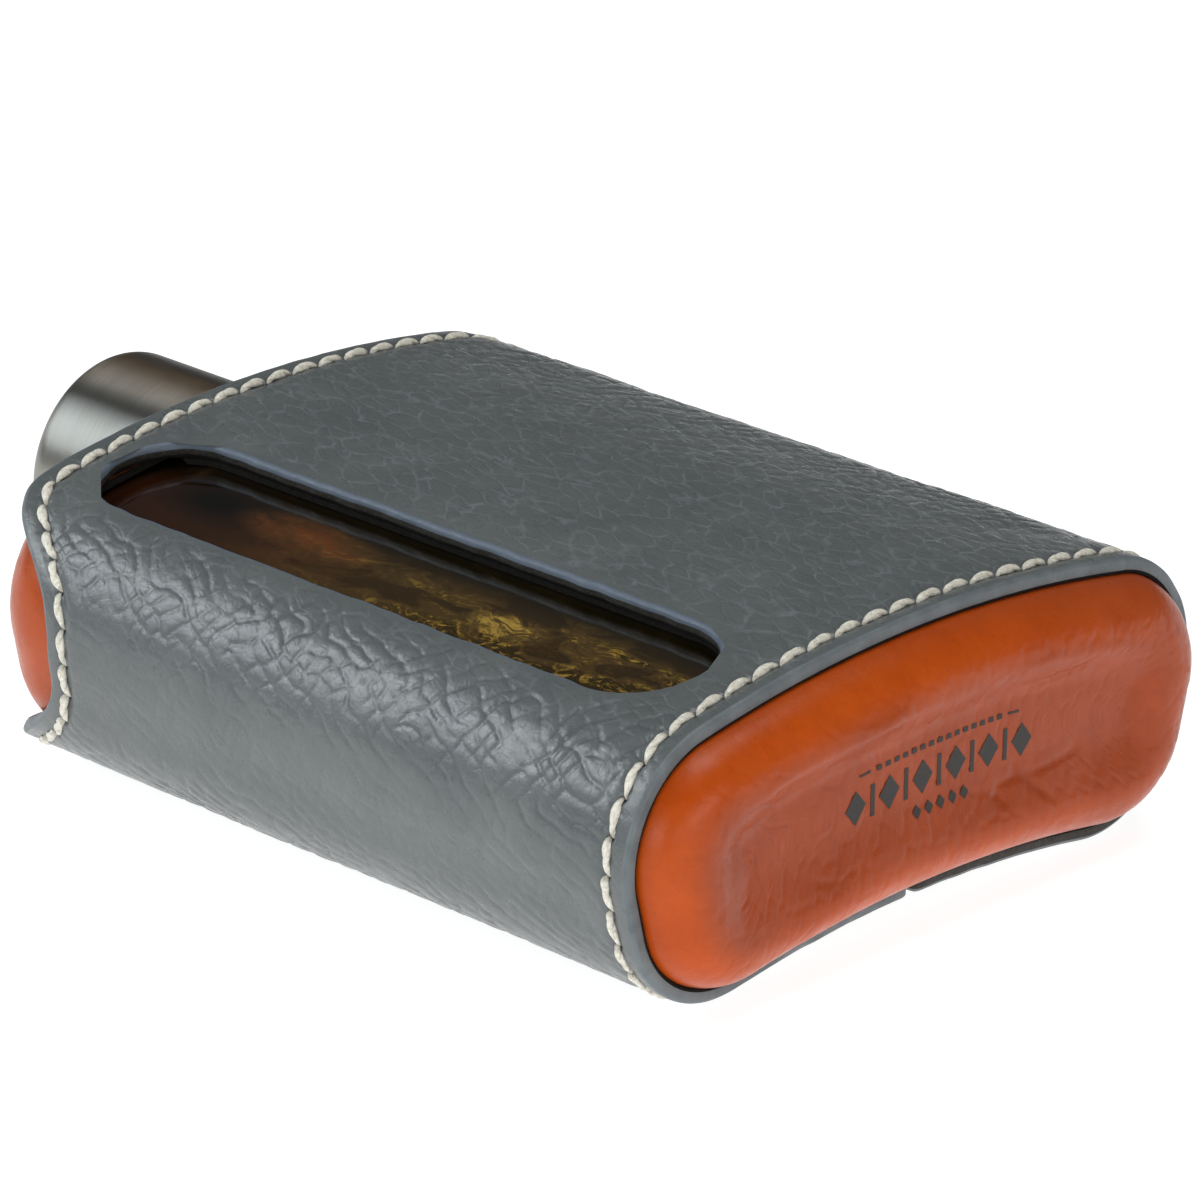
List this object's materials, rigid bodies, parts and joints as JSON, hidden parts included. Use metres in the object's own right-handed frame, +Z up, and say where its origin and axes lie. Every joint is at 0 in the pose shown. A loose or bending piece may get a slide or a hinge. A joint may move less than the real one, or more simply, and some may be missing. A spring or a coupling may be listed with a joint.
{
  "type": "hip flask",
  "caption": "Curved glass hip flask in a stitched leather sleeve with a slot window, leather-covered ends and a cylindrical screw cap.",
  "frame": {"origin": "centre of the bounding box at its lowest point, with the flask lying on its concave back", "axes": "+Z up out of the window face, +Y from the base towards the cap, +X across the face"},
  "size_m": [0.0858, 0.1208, 0.034],
  "materials": {
    "amber_glass": "clear amber",
    "grey_leather": "pebbled grain, semi-matt",
    "black_lining": "matt",
    "orange_leather": "fine grain, semi-matt",
    "waxed_thread": "twisted and waxed",
    "brushed_cap": "brushed round the barrel",
    "black_plastic": "moulded",
    "white_plastic": "moulded"
  },
  "bodies": {
    "flask": {"glass_bottle": "amber_glass", "grey_sleeve": "grey_leather", "sleeve_lining": "black_lining", "base_cup": "orange_leather", "shoulder_cup": "orange_leather", "base_stitching": "waxed_thread", "shoulder_stitching": "waxed_thread", "seam_stitching": "waxed_thread"},
    "seal": {"seal_cone": "white_plastic"},
    "cap": {"cap_shell": "brushed_cap", "cap_insert": "black_plastic"}
  },
  "joints": [
    {"name": "seal_lift", "type": "slide", "parent": "flask", "child": "seal", "axis": [0, 1, 0], "range_m": [0, 0.0143]},
    {"name": "cap_turn", "type": "hinge", "parent": "seal", "child": "cap", "pos_m": [0, 0.04935, 0.01837], "axis": [0, 1, 0], "range_deg": [0, 1620]}
  ],
  "couplings": [
    {"joint": "seal_lift", "follows": "cap_turn", "m_per_rad": 0.00050532}
  ]
}
